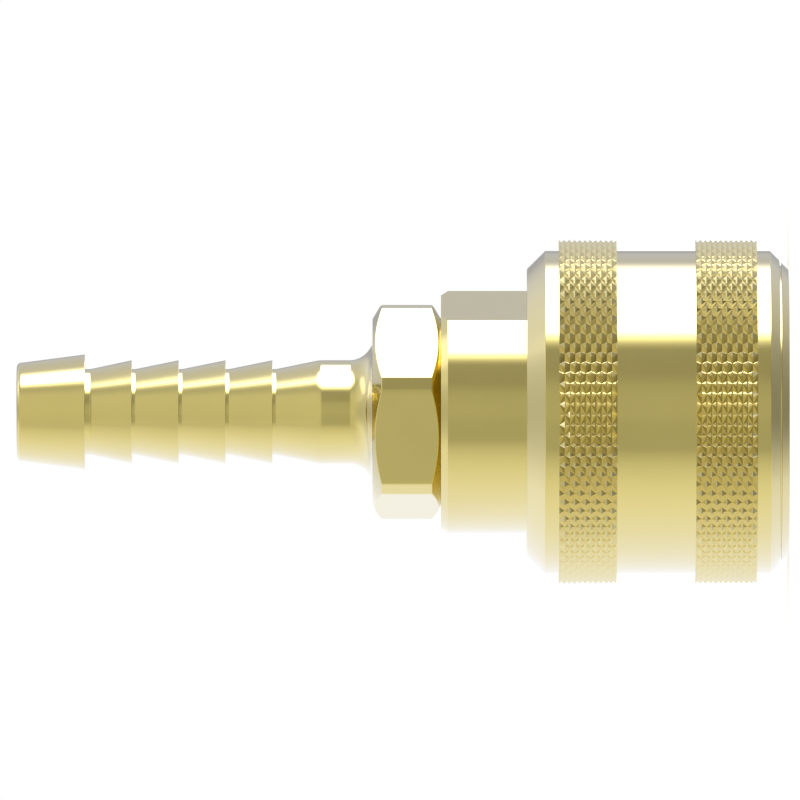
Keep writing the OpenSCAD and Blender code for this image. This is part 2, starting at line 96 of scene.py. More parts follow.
# Bore of the body, from the nose to the tail
MOUTH_R = 7.6
MOUTH_CHAMFER = 0.7
MOUTH_END_Z = 4.6
PLUG_R = 7.4
PLUG_Z = (4.8, 11.0)
PLUG_NOSE_R = 5.65
PLUG_NOSE_Z = (12.0, 17.0)
SEAL_GROOVE_R = 7.146
SEAL_GROOVE_Z = (13.1, 15.3)
SEAT_R = 4.4
SEAT_END_Z = 18.0
CHAMBER_R = 6.6
CHAMBER_Z = (20.2, 25.4)
THREAD_R = 7.17
THREAD_END_Z = 32.8
SEAL_POCKET_R = 8.14

# Balls
BALL_COUNT = 8
BALL_R = 2.0
BALL_AT = 8.43
BALL_Z = 7.3
# Depth of the worn track on a ball, its place and its half width in radians from the ball's equator
BALL_TRACK = (0.004, math.pi * 0.46, 0.1)
HOLE_R = 2.091
HOLE_TAPER = math.tan(math.radians(15))
# Where the cutter of a ball hole starts and ends, from the axis
HOLE_REACH = (5.6, 12.0)

# Sleeve
SLEEVE_R = 15.7
SLEEVE_FRONT_Z = 0.865
SLEEVE_REAR_Z = 25.445
FRONT_CHAMFER = 0.9
REAR_CHAMFER = 1.75
POCKET_R = 14.34
POCKET_END_Z = 3.02
SLEEVE_BORE_R = 11.83
SLEEVE_BORE_CHAMFER = 0.4
LAND_R = 10.45
LAND_Z = (5.9, 10.8)
RECESS_R = 11.8
RECESS_END_Z = 4.55

# Knurl: lines of points round the sleeve, each line half a pitch out of step with the next
KNURL_LINES = 102
KNURL_R = 16.754
# As deep as the reflections between its faces show it, a little deeper than in the solid
KNURL_DEPTH = 0.5
# The turn at which the sleeve happens to stand in the photograph
KNURL_TURN = math.radians(-2.69)
# Start, end and number of steps of each band
KNURL_BANDS = ((3.085, 9.055, 12), (16.715, 22.335, 11))
# Places of the mesh lines inside one cell of the knurl
KNURL_CUTS = (0.0, 0.5)

# Nose ring and snap ring
FLANGE_R = 14.61
FLANGE_THICKNESS = 0.71
SPIGOT_R = 14.26
RING_BORE_R = NOSE_R + 0.03
RING_STEP_R = 10.59
SNAP_R = 10.0
SNAP_Z = 1.3
SNAP_WIRE_R = 0.5
SNAP_OPENING = math.radians(14)

# Hose tail
HEX_ACROSS = 19.05
HEX_CORNER_CUT = 0.38
HEX_TURN = math.radians(-15.1)
HEX_TOP_Z = 40.45
HEX_FACE_R = 9.12
HEX_SEAT_R = 9.12
HEX_SLOPE = math.tan(math.radians(30))
HEX_EDGE = 0.12
# Rounding of the rim where the hexagon meets its chamfers
HEX_RIM_EDGE = 0.08
SHANK_R = 7.14
SHANK_CHAMFER = 0.5
SHANK_Z = 25.6
STEM_R = 5.04
STEM_FILLET = 2.25
STEM_TOP_Z = 45.64
BARB_PITCH = 4.56
BARB_COUNT = 4
TIP_BARB_R = 5.6
VALLEY_R = 4.18
BARB_NECK = 0.36
TIP_NECK = 0.54
TIP_R = 4.8
TIP_ROUND = 0.45
TAIL_END_Z = 75.08
TAIL_BORE_R = 3.3
TAIL_BORE_CHAMFER = 0.3
GUIDE_POCKET_R = 5.03
GUIDE_STEP = 0.35
GUIDE_TOP_Z = 30.3

# Springs: radius of the coil, wire, turns, start and end
SLEEVE_SPRING = (11.1, 1.1, 5, 10.82, 20.98)
VALVE_SPRING = (3.7, 0.8, 5, 21.03, 29.08)

# Seals: radius, thickness, place and body
SEALS = {
    "plug_seal": (6.226, 1.8, 14.2, "coupling_body"),
    "valve_seal": (SEAT_R, 1.5, 19.089, "valve"),
    "barb_seal": (7.64, 0.96, 33.3, "coupling_body"),
}
# Height of the line that the mould leaves round a seal
SEAL_FLASH = 0.012

# Colours of the metals, and the pale tone that brass takes at grazing angles
BRASS = (0.755, 0.636, 0.206)
INNER_BRASS = (0.72, 0.60, 0.22)
WIRE_STEEL = (0.55, 0.56, 0.58)
BALL_STEEL = (0.62, 0.63, 0.65)
PALE_METAL = (0.97, 0.96, 0.93, 1.0)
WHITE = (1.0, 1.0, 1.0, 1.0)

# Floor: half its side in metres, and the light that only the camera sees on it
FLOOR_HALF = 4.0
FLOOR_LIFT = 0.4

# Studio: level of the soft boxes and of the lamp, and the direction of the lamp
BOX_LEVEL = 5.0
BOX_FADE = 3.5
LAMP_LEVEL = 0.6
LAMP_TOWARDS = (0.57, -0.02, 0.82)

# Columns of mesh round the axis
SLEEVE_COLUMNS = KNURL_LINES * len(KNURL_CUTS)
TURNED_COLUMNS = 288


# Meshes

def rounded(points, edge=EDGE, steps=EDGE_STEPS, closed=True):
    """A profile of (radius, height) corners, each rounded. A third number is a corner's own rounding."""
    out = []
    count = len(points)
    for i, point in enumerate(points):
        corner = Vector(point[:2])
        size = point[2] if len(point) > 2 else edge
        if size == 0 or (not closed and i in (0, count - 1)):
            out.append(tuple(corner))
            continue
        back = Vector(points[i - 1][:2]) - corner
        on = Vector(points[(i + 1) % count][:2]) - corner
        reach = min(size, back.length * 0.45, on.length * 0.45)
        start, end = corner + back.normalized() * reach, corner + on.normalized() * reach
        for k in range(steps + 1):
            t = k / steps
            out.append(tuple(start * (1 - t) ** 2 + corner * (2 * t * (1 - t)) + end * t * t))
    return out


def arc(centre, radius, start, end, steps):
    """Points of a true arc in a profile, from one angle to another in degrees."""
    turns = [math.radians(start + (end - start) * i / steps) for i in range(steps + 1)]
    return [(centre[0] + radius * math.cos(t), centre[1] + radius * math.sin(t), 0) for t in turns]


def even_columns(count):
    return [math.tau * i / count for i in range(count)]


def revolved(name, angles, profile_at, folded=None, closed=True):
    """A turned mesh: one profile per angle, all as long. folded says which squares split, and how."""
    profiles = [profile_at(i, a) for i, a in enumerate(angles)]
    around, along = len(angles), len(profiles[0])
    verts = [
        (r * math.cos(a) * MM, r * math.sin(a) * MM, z * MM)
        for a, profile in zip(angles, profiles)
        for r, z in profile
    ]
    faces = []
    for i in range(around):
        here, there = i * along, (i + 1) % around * along
        for j in range(along if closed else along - 1):
            k = (j + 1) % along
            a, b, c, d = here + j, there + j, there + k, here + k
            fold = folded(i, j) if folded else 0
            if fold == 0:
                faces.append((a, b, c, d))
            elif fold == 1:
                faces += [(a, b, c), (a, c, d)]
            else:
                faces += [(a, b, d), (b, c, d)]
    return new_mesh(name, verts, faces)


def new_mesh(name, verts, faces):
    """A mesh with its doubled points joined and its faces turned outward."""
    mesh = bpy.data.meshes.new(name)
    mesh.from_pydata(verts, [], faces)
    bm = bmesh.new()
    bm.from_mesh(mesh)
    bmesh.ops.remove_doubles(bm, verts=bm.verts, dist=1e-7)
    bmesh.ops.recalc_face_normals(bm, faces=bm.faces)
    bm.to_mesh(mesh)
    bm.free()
    return mesh


def soften(mesh, hard_angle):
    """Shades a mesh smooth up to an angle, with wide faces outweighing the narrow ones of an edge."""
    mesh.polygons.foreach_set("use_smooth", [True] * len(mesh.polygons))
    normals = np.empty(len(mesh.polygons) * 3, dtype=np.float64)
    areas = np.empty(len(mesh.polygons), dtype=np.float64)
    totals = np.empty(len(mesh.polygons), dtype=np.int64)
    corners = np.empty(len(mesh.loops), dtype=np.int64)
    mesh.polygons.foreach_get("normal", normals)
    mesh.polygons.foreach_get("area", areas)
    mesh.polygons.foreach_get("loop_total", totals)
    mesh.loops.foreach_get("vertex_index", corners)
    normals = normals.reshape(-1, 3)
    of_face = np.repeat(np.arange(len(totals)), totals)
    order = np.argsort(corners, kind="stable")
    vertex, face = corners[order], of_face[order]
    normal, weight = normals[face], areas[face]
    total = normal * weight[:, None]
    limit = math.cos(hard_angle)
    for shift in range(1, 24):
        if shift >= len(vertex):
            break
        together = vertex[shift:] == vertex[:-shift]
        near = together & (np.einsum("ij,ij->i", normal[shift:], normal[:-shift]) > limit)
        if not near.any():
            break
        total[:-shift][near] += (normal[shift:] * weight[shift:, None])[near]
        total[shift:][near] += (normal[:-shift] * weight[:-shift, None])[near]
    total /= np.maximum(np.linalg.norm(total, axis=1), 1e-30)[:, None]
    result = np.empty_like(total)
    result[order] = total
    mesh.normals_split_custom_set(result.tolist())


def piece(name, mesh, body, material, hard_angle=30, replaces=()):
    """Puts a mesh in the scene as a piece that rides on a body and stands for CAD nodes."""
    soften(mesh, math.radians(hard_angle))
    obj = bpy.data.objects.new(name, mesh)
    bpy.context.scene.collection.objects.link(obj)
    mesh.materials.append(material)
    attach(obj, body)
    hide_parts(*replaces)
    return obj


def cut(mesh, tools):
    """Cuts closed meshes out of a mesh and returns the result."""
    subject = bpy.data.objects.new("subject", mesh)
    bpy.context.scene.collection.objects.link(subject)
    cutters = bpy.data.collections.new("cutters")
    for tool in tools:
        cutters.objects.link(bpy.data.objects.new("cutter", tool))
    modifier = subject.modifiers.new("cut", "BOOLEAN")
    modifier.operation = "DIFFERENCE"
    modifier.operand_type = "COLLECTION"
    modifier.collection = cutters
    modifier.solver = "EXACT"
    bpy.context.scene.collection.children.link(cutters)
    bpy.context.view_layer.update()
    evaluated = subject.evaluated_get(bpy.context.evaluated_depsgraph_get())
    result = bpy.data.meshes.new_from_object(evaluated)
    for obj in list(cutters.objects):
        bpy.data.objects.remove(obj)
    bpy.data.collections.remove(cutters)
    bpy.data.objects.remove(subject)
    return result


# Materials

class Tree:
    """A short way to build a node tree."""

    def __init__(self, tree):
        self.tree = tree
        tree.nodes.clear()

    def node(self, kind, inputs=None, **settings):
        node = self.tree.nodes.new(kind)
        for key, value in settings.items():
            setattr(node, key, value)
        for key, value in (inputs or {}).items():
            socket = node.inputs[key]
            if isinstance(value, bpy.types.NodeSocket):
                self.tree.links.new(value, socket)
            else:
                socket.default_value = value
        return node

    def math(self, operation, a, b=0.0, clamp=False):
        return self.node("ShaderNodeMath", {0: a, 1: b}, operation=operation, use_clamp=clamp).outputs[0]

    def span(self, value, low, high, to_low=0.0, to_high=1.0, smooth=True):
        kind = "SMOOTHSTEP" if smooth else "LINEAR"
        return self.node(
            "ShaderNodeMapRange",
            {"Value": value, "From Min": low, "From Max": high, "To Min": to_low, "To Max": to_high},
            interpolation_type=kind,
        ).outputs[0]

    def mix(self, factor, a, b):
        return self.node("ShaderNodeMix", {0: factor, 2: a, 3: b}, data_type="FLOAT").outputs[0]

    def mix_colour(self, factor, a, b):
        return self.node("ShaderNodeMix", {0: factor, 6: a, 7: b}, data_type="RGBA").outputs[2]

    def fade(self, value, low, high):
        """The edge of a soft box, from 0 to 1, bright only near its inner end."""
        return self.math("POWER", self.span(value, low, high, smooth=False), BOX_FADE)

    def noise(self, vector, scale, detail, **more):
        inputs = {"Vector": vector, "Scale": scale, "Detail": detail, **more}
        return self.node("ShaderNodeTexNoise", inputs).outputs[0]

    def bump(self, height, distance, strength=1.0):
        inputs = {"Strength": strength, "Distance": distance, "Height": height}
        return self.node("ShaderNodeBump", inputs).outputs[0]

    def surface(self, colour, roughness, normal, metallic=0.0):
        inputs = {"Base Color": colour, "Metallic": metallic, "Roughness": roughness, "Normal": normal}
        return self.node("ShaderNodeBsdfPrincipled", inputs).outputs[0]

    def curve(self, value, low, high, points):
        """A curve through points, for a value that runs from low to high."""
        node = self.node("ShaderNodeFloatCurve", {"Value": self.span(value, low, high, smooth=False)})
        curve = node.mapping.curves[0]
        places = [((x - low) / (high - low), y) for x, y in points]
        curve.points[0].location, curve.points[-1].location = places[0], places[-1]
        for place in places[1:-1]:
            curve.points.new(*place)
        for point in curve.points:
            point.handle_type = "AUTO_CLAMPED"
        node.mapping.update()
        return node.outputs[0]


def material(name):
    made = bpy.data.materials.new(name)
    made.use_nodes = True
    return made, Tree(made.node_tree)


def lathe_place(tree, scale, wobble):
    """Coordinates that follow the tool round the axis, so a pattern comes out as fine rings."""
    spot = tree.node("ShaderNodeTexCoord").outputs["Object"]
    parts = tree.node("ShaderNodeSeparateXYZ", {0: spot}).outputs
    squares = tree.math("ADD", tree.math("POWER", parts[0], 2.0), tree.math("POWER", parts[1], 2.0))
    radius = tree.math("SQRT", squares)
    turn = tree.math("ARCTAN2", parts[1], parts[0])
    return tree.node("ShaderNodeCombineXYZ", {
        0: tree.math("MULTIPLY", radius, scale),
        1: tree.math("MULTIPLY", parts[2], scale),
        2: tree.math("MULTIPLY", turn, wobble),
    }).outputs[0]


def brass(name, colour, roughness, ring_depth):
    """Turned and polished brass, paler towards grazing angles, with faint tool rings and handling marks."""
    made, tree = material(name)
    spot = tree.node("ShaderNodeTexCoord").outputs["Object"]
    cloud = tree.noise(spot, 140.0, 3.0, Roughness=0.55)
    smear = tree.noise(spot, 900.0, 2.0, Roughness=0.6)
    rings = tree.noise(lathe_place(tree, 5200.0, 1.5), 1.0, 2.0)
    dull = [c * 0.94 for c in colour]
    clean = [min(1.0, c * 1.05) for c in colour]
    tone = tree.mix_colour(cloud, (*dull, 1.0), (*clean, 1.0))
    worn = tree.span(cloud, 0.3, 0.7, roughness * 0.85, roughness * 1.1)
    rough = tree.math("ADD", worn, tree.span(smear, 0.45, 0.75, 0.0, 0.03))
    bump = tree.bump(rings, ring_depth)
    metal = tree.surface(tone, rough, bump, metallic=1.0)
    pale = tree.surface(PALE_METAL, rough, bump, metallic=1.0)
    facing = tree.node("ShaderNodeLayerWeight", {"Blend": 0.5}).outputs["Facing"]
    grazing = tree.math("POWER", facing, 1.35)
    blend = tree.node("ShaderNodeMixShader", {0: grazing, 1: metal, 2: pale}).outputs[0]
    tree.node("ShaderNodeOutputMaterial", {"Surface": blend})
    return made


def steel(name, colour, roughness, scuff_scale):
    """Bare steel with fine scuffs."""
    made, tree = material(name)
    spot = tree.node("ShaderNodeTexCoord").outputs["Object"]
    cloud = tree.noise(spot, scuff_scale * 0.3, 3.0)
    scuff = tree.noise(spot, scuff_scale, 4.0, Distortion=1.5)
    tone = tree.mix_colour(cloud, (*[c * 0.86 for c in colour], 1.0), (*colour, 1.0))
    rough = tree.span(scuff, 0.35, 0.75, roughness, roughness + 0.16)
    bump = tree.bump(scuff, 2e-6, strength=0.5)
    metal = tree.surface(tone, rough, bump, metallic=1.0)
    tree.node("ShaderNodeOutputMaterial", {"Surface": metal})
    return made


def rubber(name):
    """Black seal rubber with a fine grain and a trace of grease."""
    made, tree = material(name)
    spot = tree.node("ShaderNodeTexCoord").outputs["Object"]
    grain = tree.noise(spot, 6000.0, 3.0)
    grease = tree.noise(spot, 420.0, 2.0)
    tone = tree.mix_colour(grain, (0.012, 0.012, 0.013, 1.0), (0.034, 0.033, 0.034, 1.0))
    rough = tree.span(grease, 0.4, 0.65, 0.32, 0.62)
    bump = tree.bump(grain, 6e-6, strength=0.6)
    tree.node("ShaderNodeOutputMaterial", {"Surface": tree.surface(tone, rough, bump)})
    return made


# Pieces

def socket_body(finish):
    """The body with its wrench flats and tapered ball holes."""
    bore = rounded([
        (SEAL_POCKET_R, BODY_LENGTH), (SEAL_POCKET_R, THREAD_END_Z),
        (THREAD_R, THREAD_END_Z), (THREAD_R, CHAMBER_Z[1]),
        (CHAMBER_R, CHAMBER_Z[1]), (CHAMBER_R, CHAMBER_Z[0]),
        (SEAT_R, SEAT_END_Z), (SEAT_R, PLUG_NOSE_Z[1]),
        (PLUG_NOSE_R, PLUG_NOSE_Z[1]), (PLUG_NOSE_R, SEAL_GROOVE_Z[1]),
        (SEAL_GROOVE_R, SEAL_GROOVE_Z[1]), (SEAL_GROOVE_R, SEAL_GROOVE_Z[0]),
        (PLUG_NOSE_R, SEAL_GROOVE_Z[0]), (PLUG_NOSE_R, PLUG_NOSE_Z[0]),
        (PLUG_R, PLUG_Z[1]), (PLUG_R, PLUG_Z[0]),
        (MOUTH_R, MOUTH_END_Z), (MOUTH_R, MOUTH_CHAMFER), (MOUTH_R + MOUTH_CHAMFER, 0.0),
        (NOSE_R - NOSE_CHAMFER, 0.0), (NOSE_R, NOSE_CHAMFER), (NOSE_R, SNAP_GROOVE_Z[0]),
        (SNAP_GROOVE_R, SNAP_GROOVE_Z[0]), (SNAP_GROOVE_R, SNAP_GROOVE_Z[1]),
        (NOSE_R, SNAP_GROOVE_Z[1]), (NOSE_R, RING_DEPTH),
        (CARRIER_R, RING_DEPTH), (CARRIER_R, SHOULDER_Z), (BODY_R, SHOULDER_Z), (BODY_R, FLATS_Z),
    ], closed=False)
    flat_edge = math.acos(FLAT_R / BODY_R)
    sharp = [FLATS_TURN + side + sign * flat_edge for side in (0, math.pi) for sign in (-1, 1)]
    angles = sorted(set(a % math.tau for a in even_columns(TURNED_COLUMNS) + sharp))

    def profile(_, angle):
        off = (angle - FLATS_TURN + math.pi / 2) % math.pi - math.pi / 2
        r = min(BODY_R, FLAT_R / math.cos(off))
        end_r = min(r, BODY_END_R)
        end_z = BODY_LENGTH - (r - end_r) / BODY_END_SLOPE
        return bore + [(r, FLATS_Z), (r, end_z), (end_r, BODY_LENGTH)]

    mesh = cut(revolved("socket_body", angles, profile), [ball_hole(i) for i in range(BALL_COUNT)])
    return piece("body_turned", mesh, "coupling_body", finish, 16, ("socket_body",))


def ball_hole(i):
    """The cutter of one ball hole, which narrows towards the bore."""
    inside, outside = HOLE_REACH
    small_r = HOLE_R - (BALL_AT - inside) * HOLE_TAPER
    points = [(0, inside), (small_r, inside), (HOLE_R, BALL_AT), (HOLE_R, outside), (0, outside)]
    hole = revolved("hole", even_columns(64), lambda _, a: points, closed=False)
    turn = Matrix.Rotation(math.tau * i / BALL_COUNT, 4, "Z")
    lift = Matrix.Translation((0, 0, BALL_Z * MM))
    hole.transform(turn @ lift @ Matrix.Rotation(math.pi / 2, 4, "Y"))
    return hole


def hexagon_outline():
    """Corners of the hexagon with their small flats, rounded, as (angle, radius) columns."""
    inner = HEX_ACROSS / 2
    cut_r = inner / math.cos(math.pi / 6) - HEX_CORNER_CUT
    corners = []
    for i in range(6):
        middle = HEX_TURN + math.tau * i / 6
        for sign in (-1, 1):
            # Distance from the middle of the small flat to where it meets the hexagon's side
            reach = (inner - cut_r * math.cos(math.pi / 6)) / math.sin(math.pi / 6)
            corners.append((middle + sign * math.atan2(reach, cut_r), math.hypot(cut_r, reach)))
    corners.sort()
    flat = [(r * math.cos(a), r * math.sin(a)) for a, r in corners]
    count = len(flat)
    outline = []
    for i in range(count):
        corner, back, on = Vector(flat[i]), Vector(flat[i - 1]), Vector(flat[(i + 1) % count])
        start = corner + (back - corner).normalized() * HEX_EDGE
        end = corner + (on - corner).normalized() * HEX_EDGE
        for k in range(4):
            t = k / 3
            outline.append(start * (1 - t) ** 2 + corner * (2 * t * (1 - t)) + end * t * t)
        after = on + (corner - on).normalized() * HEX_EDGE
        steps = max(3, round((after - end).length / 0.45))
        outline += [end.lerp(after, k / steps) for k in range(1, steps)]
    columns = sorted((math.atan2(p.y, p.x) % math.tau, p.length) for p in outline)
    return columns


def hose_barb(finish):
    """The hose tail, one turned piece: shank, hexagon, filleted stem and barbs, bored through."""
    columns = hexagon_outline()
    radii = [r for _, r in columns]
    shank = rounded([
        (GUIDE_POCKET_R - GUIDE_STEP, GUIDE_TOP_Z), (GUIDE_POCKET_R, GUIDE_TOP_Z),
        (GUIDE_POCKET_R, SHANK_Z), (SHANK_R - SHANK_CHAMFER, SHANK_Z), (SHANK_R, SHANK_Z + SHANK_CHAMFER),
        (SHANK_R, BODY_LENGTH), (HEX_SEAT_R, BODY_LENGTH),
    ], closed=False)
    barbs = []
    for i in range(BARB_COUNT + 1):
        last = i == BARB_COUNT
        edge_z = STEM_TOP_Z + BARB_PITCH * (i + 1)
        barbs += [
            (VALLEY_R, edge_z - (TIP_NECK if last else BARB_NECK), 0.04),
            (VALLEY_R, edge_z, 0.04),
            (TIP_BARB_R if last else STEM_R, edge_z, 0.03),
        ]
    tail = rounded(
        [(HEX_FACE_R, HEX_TOP_Z)]
        + arc((STEM_R + STEM_FILLET, HEX_TOP_Z + STEM_FILLET), STEM_FILLET, -90, -180, 16)
        + [(STEM_R, STEM_TOP_Z, 0.3)]
        + barbs
        + arc((TIP_R - TIP_ROUND, TAIL_END_Z - TIP_ROUND), TIP_ROUND, 0, 90, 8)
        + [
            (TAIL_BORE_R + TAIL_BORE_CHAMFER, TAIL_END_Z), (TAIL_BORE_R, TAIL_END_Z - TAIL_BORE_CHAMFER),
            (TAIL_BORE_R, GUIDE_TOP_Z + GUIDE_POCKET_R - GUIDE_STEP - TAIL_BORE_R),
            (GUIDE_POCKET_R - GUIDE_STEP, GUIDE_TOP_Z),
        ],
        closed=False,
    )[:-1]

    def profile(i, _):
        r = radii[i]
        hexagon = rounded([
            (HEX_SEAT_R, BODY_LENGTH), (r, BODY_LENGTH + (r - HEX_SEAT_R) * HEX_SLOPE),
            (r, HEX_TOP_Z - (r - HEX_FACE_R) * HEX_SLOPE), (HEX_FACE_R, HEX_TOP_Z),
        ], edge=HEX_RIM_EDGE, closed=False)[1:-1]
        return shank + hexagon + tail

    mesh = revolved("hose_barb", [a for a, _ in columns], profile)
    return piece("tail_turned", mesh, "coupling_body", finish, 24, ("hose_barb",))


def knurl_height(across, along):
    """Height of the knurl, from 0 in a valley to 1 on a point, across and along its cells."""
    line, step = math.floor(across), math.floor(along)
    s, t = across - line, along - step
    return abs(1 - s - t) if (line + step) % 2 == 0 else abs(s - t)


def knurl_rows(low, high, steps):
    """Mesh lines along one band of knurl, as (steps along the cells, place)."""
    places = [k + c for k in range(steps) for c in KNURL_CUTS] + [steps]
    return [(place, low + (high - low) * place / steps) for place in places]


def sleeve(finish):
    """The release sleeve: one turned ring with both bands of diamond knurl."""
    cuts = len(KNURL_CUTS)
    front = rounded([
        (POCKET_R, POCKET_END_Z), (POCKET_R, SLEEVE_FRONT_Z), (SLEEVE_R - FRONT_CHAMFER, SLEEVE_FRONT_Z),
        (SLEEVE_R, SLEEVE_FRONT_Z + FRONT_CHAMFER), (SLEEVE_R, KNURL_BANDS[0][0]),
    ], closed=False)
    middle = [(SLEEVE_R, KNURL_BANDS[0][1]), (SLEEVE_R, KNURL_BANDS[1][0])]
    rear = rounded([
        (SLEEVE_R, KNURL_BANDS[1][1]), (SLEEVE_R, SLEEVE_REAR_Z - REAR_CHAMFER),
        (SLEEVE_R - REAR_CHAMFER, SLEEVE_REAR_Z), (SLEEVE_BORE_R + SLEEVE_BORE_CHAMFER, SLEEVE_REAR_Z),
        (SLEEVE_BORE_R, SLEEVE_REAR_Z - SLEEVE_BORE_CHAMFER), (SLEEVE_BORE_R, LAND_Z[1]),
        (LAND_R, LAND_Z[1]), (LAND_R, LAND_Z[0]),
        (RECESS_R, RECESS_END_Z), (RECESS_R, POCKET_END_Z), (POCKET_R, POCKET_END_Z),
    ], closed=False)[:-1]
    rows = [knurl_rows(*band) for band in KNURL_BANDS]
    starts = [len(front), len(front) + len(rows[0]) + len(middle)]

    def profile(i, _):
        across = i // cuts + KNURL_CUTS[i % cuts]
        bands = [
            [(KNURL_R - KNURL_DEPTH * (1 - knurl_height(across, along)), z) for along, z in band]
            for band in rows
        ]
        return front + bands[0] + middle + bands[1] + rear

    def folded(i, j):
        for start, band in zip(starts, rows):
            if start <= j < start + len(band) - 1:
                line, a = divmod(i, cuts)
                step, b = divmod(j - start, cuts)
                if (line + step) % 2 == 0:
                    return 2 if a + b == cuts - 1 else 0
                return 1 if a == b else 0
        return 0

    angles = [
        math.tau * (i // cuts + KNURL_CUTS[i % cuts]) / KNURL_LINES + KNURL_TURN
        for i in range(SLEEVE_COLUMNS)
    ]
    mesh = revolved("sleeve", angles, profile, folded)
    return piece("sleeve_knurled", mesh, "release_sleeve", finish, 30, ("sleeve",))


def nose_ring(finish):
    points = rounded([
        (RING_STEP_R, 0.0), (FLANGE_R - FLANGE_THICKNESS, 0.0), (FLANGE_R, FLANGE_THICKNESS, 0.03),
        (SPIGOT_R, FLANGE_THICKNESS, 0.03), (SPIGOT_R, RING_DEPTH), (RING_BORE_R, RING_DEPTH),
        (RING_BORE_R, SNAP_GROOVE_Z[1]), (RING_STEP_R, SNAP_GROOVE_Z[1]),
    ])
    mesh = revolved("nose_ring", even_columns(TURNED_COLUMNS), lambda _, a: points)
    return piece("nose_ring_turned", mesh, "coupling_body", finish, 24, ("nose_ring",))


def wire(name, path, radius, sides):
    """A round wire along a path of points, with its ends dressed to a small flat."""
    frames = []
    for i, point in enumerate(path):
        ahead = (path[min(i + 1, len(path) - 1)] - path[max(i - 1, 0)]).normalized()
        out = Vector((point.x, point.y, 0)).normalized()
        out = (out - ahead * out.dot(ahead)).normalized()
        frames.append((point, out, ahead.cross(out)))
    sizes = [radius] * len(path)
    sizes[0] = sizes[-1] = radius * 0.8
    turns = even_columns(sides)
    rings = [
        [tuple((point + (out * math.cos(t) + up * math.sin(t)) * size) * MM) for t in turns]
        for (point, out, up), size in zip(frames, sizes)
    ]
    verts = [vert for ring in rings for vert in ring]
    faces = [
        (i * sides + s, i * sides + (s + 1) % sides, (i + 1) * sides + (s + 1) % sides, (i + 1) * sides + s)
        for i in range(len(rings) - 1)
        for s in range(sides)
    ]
    faces += [tuple(range(sides)), tuple((len(rings) - 1) * sides + s for s in range(sides))]
    return new_mesh(name, verts, faces)


def coil_path(radius, wire_d, turns, low, high, per_turn=72):
    """The middle line of a spring between two heights, with its first and last turn closed."""
    closed = wire_d * 1.04
    rise = (high - low - wire_d - 2 * closed) / (turns - 2)
    path = []
    for i in range(turns * per_turn + 1):
        turn = i / per_turn
        if turn < 1:
            height = turn * closed
        elif turn > turns - 1:
            height = closed + (turns - 2) * rise + (turn - turns + 1) * closed
        else:
            height = closed + (turn - 1) * rise
        angle = math.tau * turn
        path.append(Vector((radius * math.cos(angle), radius * math.sin(angle), low + wire_d / 2 + height)))
    return path


def springs(finish):
    """Both coil springs, squashed by the slides that load them."""
    mesh = wire("sleeve_spring", coil_path(*SLEEVE_SPRING), SLEEVE_SPRING[1] / 2, 20)
    name = "sleeve_spring_wire"
    coil = piece(name, mesh, "release_spring", finish, 40, ("sleeve_spring",))
    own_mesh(coil)
    mesh = wire("valve_spring", coil_path(*VALVE_SPRING), VALVE_SPRING[1] / 2, 16)
    name = "valve_spring_wire"
    coil = piece(name, mesh, "coupling_body", finish, 40, ("valve_spring",))
    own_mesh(coil)


def snap_ring(finish):
    """The open wire ring that holds the nose ring on."""
    steps = 180
    turns = [SNAP_OPENING / 2 + (math.tau - SNAP_OPENING) * i / steps for i in range(steps + 1)]
    path = [Vector((SNAP_R * math.cos(a), SNAP_R * math.sin(a), SNAP_Z)) for a in turns]
    mesh = wire("snap_ring", path, SNAP_WIRE_R, 20)
    piece("snap_ring_wire", mesh, "coupling_body", finish, 40, ("snap_ring",))


def ring_mesh(name, radius, section, height, columns=160, sides=28):
    """A rubber ring, with the thin line that its mould leaves round it."""
    thick = section / 2 - SEAL_FLASH
    points = []
    for s, turn in enumerate(even_columns(sides)):
        swell = SEAL_FLASH if s in (0, sides // 2) else 0.0
        points.append((radius + (thick + swell) * math.cos(turn), height + thick * math.sin(turn)))
    return revolved(name, even_columns(columns), lambda _, a: points)


def seals(finish):
    for name, (radius, section, height, body) in SEALS.items():
        mesh = ring_mesh(name, radius, section, height)
        piece(f"{name}_ring", mesh, body, finish, 40, (name,))


def balls(finish):
    """Eight locking balls, each with a faint worn track where the sleeve's land rolls over it."""
    steps = 40
    depth, middle, half_width = BALL_TRACK
    points = []
    for k in range(steps + 1):
        turn = math.pi * k / steps - math.pi / 2
        r = BALL_R - (depth if abs(turn - middle) < half_width else 0.0)
        points.append((max(0.0, r * math.cos(turn)), r * math.sin(turn)))
    for i in range(BALL_COUNT):
        mesh = revolved(f"ball_{i + 1}", even_columns(64), lambda _, a: points, closed=False)
        turned = Matrix.Rotation(math.tau * i / BALL_COUNT, 4, "Z")
        place = turned @ Matrix.Translation((BALL_AT * MM, 0, BALL_Z * MM))
        mesh.transform(place @ Matrix.Rotation(math.pi / 2, 4, "Y"))
        node = f"locking_ball_{i + 1}"
        piece(f"{node}_polished", mesh, "coupling_body", finish, 40, (node,))


def dress(node, finish):
    """Gives a carried-over CAD node its material."""
    mesh = frame["nodes"][node].data
    mesh.materials.clear()
    mesh.materials.append(finish)


# Studio

